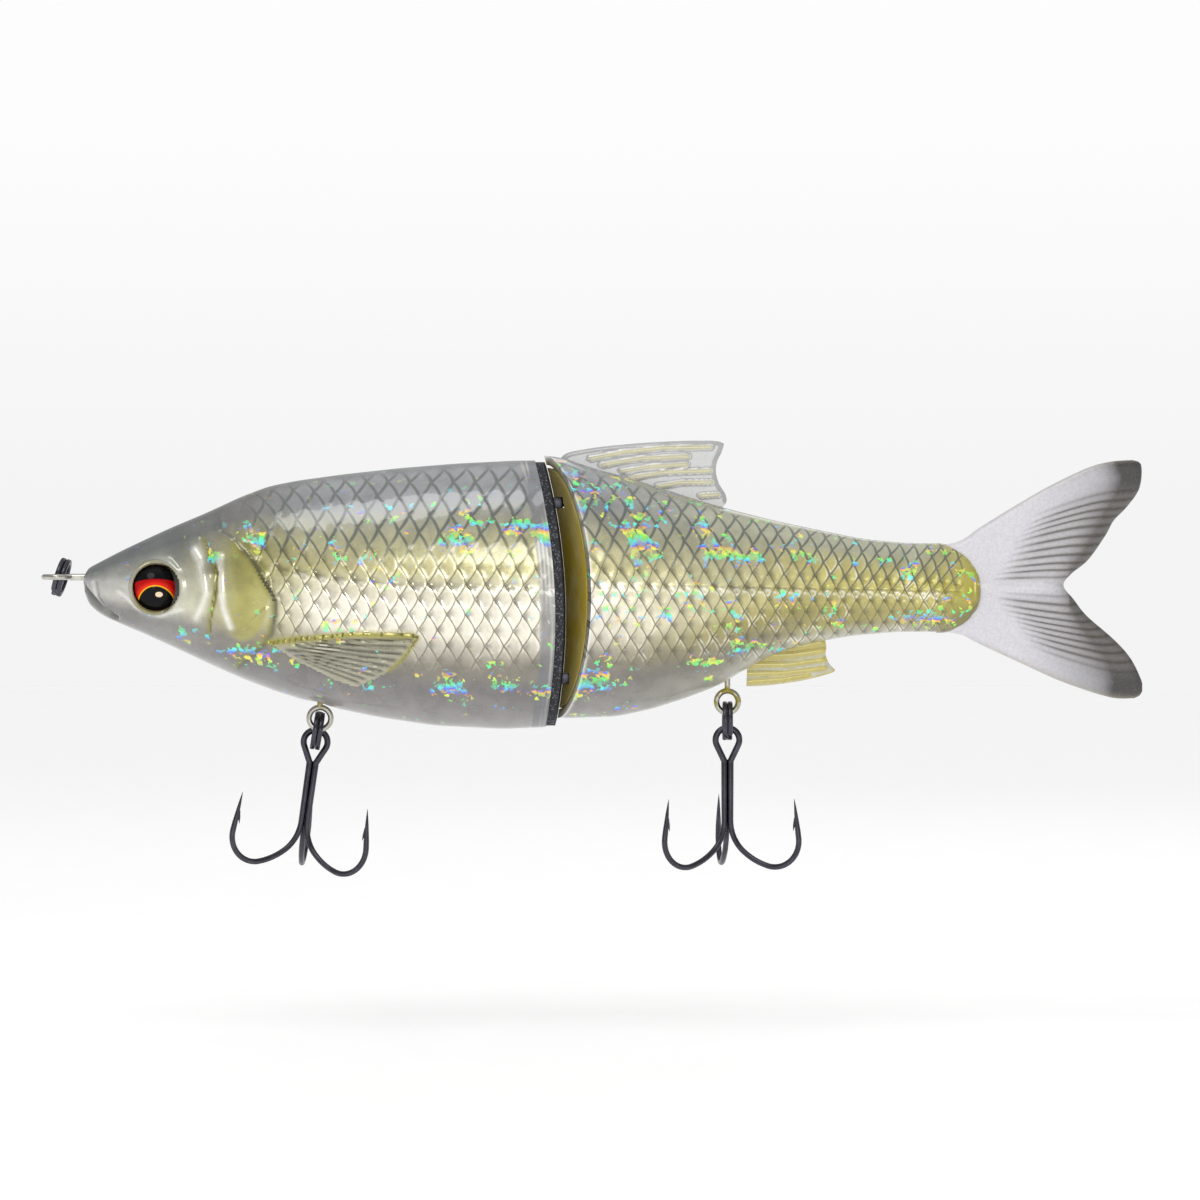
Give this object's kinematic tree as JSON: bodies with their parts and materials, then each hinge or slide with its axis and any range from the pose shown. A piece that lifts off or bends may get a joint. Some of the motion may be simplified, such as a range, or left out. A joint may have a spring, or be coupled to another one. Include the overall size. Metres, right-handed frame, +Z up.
{
  "type": "swimbait",
  "caption": "Two-section gliding fishing lure with a hinged hard body, moulded scales, soft forked tail, line ring and hanging treble hooks.",
  "frame": {"origin": "centre of the hole of the line tie's wire eye, on the body's middle plane", "axes": "+X from the nose to the tail, +Z up to the back, +Y to the fish's right side"},
  "size_m": [0.1926, 0.0288, 0.0762],
  "materials": {
    "clear_shell": "clear moulded shell, tinted grey on the back and olive on the upper flank, with scale relief under a gloss coat",
    "holo_foil": "metallised scale film with small rainbow flecks",
    "eye_print": "printed iris, red and black with a yellow rim",
    "eye_dome": "clear domed resin",
    "amber_resin": "translucent amber moulded plastic",
    "pad_foam": "black closed-cell rubber with pale specks",
    "black_nickel": "polished black nickel plating",
    "stainless": "drawn stainless wire",
    "wire_steel": "gunmetal wire with a trace of overspray",
    "ballast_brass": "turned bar",
    "clear_fin": "milky clear fin with raised pale rays",
    "amber_fin": "milky clear fin with amber rays",
    "pearl_rubber": "soft pearl moulding fading to smoky brown at the rays' tips"
  },
  "bodies": {
    "head_section": {"head_shell_left": "clear_shell", "head_shell_right": "clear_shell", "head_foil_left": "holo_foil", "head_foil_right": "holo_foil", "eye_iris_left": "eye_print", "eye_iris_right": "eye_print", "eye_lens_left": "eye_dome", "eye_lens_right": "eye_dome", "head_bulkhead": "amber_resin", "joint_pad": "pad_foam", "upper_hinge_eye": "black_nickel", "lower_hinge_eye": "black_nickel", "line_tie": "wire_steel", "front_hanger": "wire_steel", "head_weight": "ballast_brass"},
    "rear_section": {"rear_shell_left": "clear_shell", "rear_shell_right": "clear_shell", "rear_foil_left": "holo_foil", "rear_foil_right": "holo_foil", "rear_bulkhead": "amber_resin", "hinge_pin": "stainless", "rear_hanger": "wire_steel", "rear_weight": "ballast_brass", "dorsal_fin": "clear_fin", "anal_fin": "amber_fin", "tail_pin": "stainless", "tail_root": "pearl_rubber"},
    "tail": {"tail_fin": "pearl_rubber"},
    "nose_ring": {"line_ring": "black_nickel"},
    "front_ring": {"front_ring": "black_nickel"},
    "front_hook": {"front_treble": "black_nickel"},
    "rear_ring": {"rear_ring": "black_nickel"},
    "rear_hook": {"rear_treble": "black_nickel"}
  },
  "joints": [
    {"name": "body_hinge", "type": "hinge", "parent": "head_section", "child": "rear_section", "pos_m": [0.092, 0, 0], "axis": [0, 0, 1], "range_deg": [-25, 25]},
    {"name": "tail_flex", "type": "hinge", "parent": "rear_section", "child": "tail", "pos_m": [0.1635, 0, 0], "axis": [0, 0, 1], "range_deg": [-30, 30], "stiffness_Nm_per_rad": 0.008},
    {"name": "line_ring_swing", "type": "hinge", "parent": "head_section", "child": "nose_ring", "pos_m": [0, 0.00225, 0], "axis": [1, 0, 0], "range_deg": [-90, 45]},
    {"name": "front_ring_swing", "type": "hinge", "parent": "head_section", "child": "front_ring", "pos_m": [0.046, 0, -0.0266], "axis": [1, 0, 0], "range_deg": [-60, 10]},
    {"name": "front_hook_swing", "type": "hinge", "parent": "front_ring", "child": "front_hook", "pos_m": [0.04498, 0.00246, -0.02952], "axis": [0, 0.9063, 0.4226], "range_deg": [-60, 60]},
    {"name": "rear_ring_swing", "type": "hinge", "parent": "rear_section", "child": "rear_ring", "pos_m": [0.1173, 0, -0.0237], "axis": [1, 0, 0], "range_deg": [-45, 45]},
    {"name": "rear_hook_swing", "type": "hinge", "parent": "rear_ring", "child": "rear_hook", "pos_m": [0.1173, 0, -0.02808], "axis": [0, 1, 0], "range_deg": [-70, 50]}
  ]
}
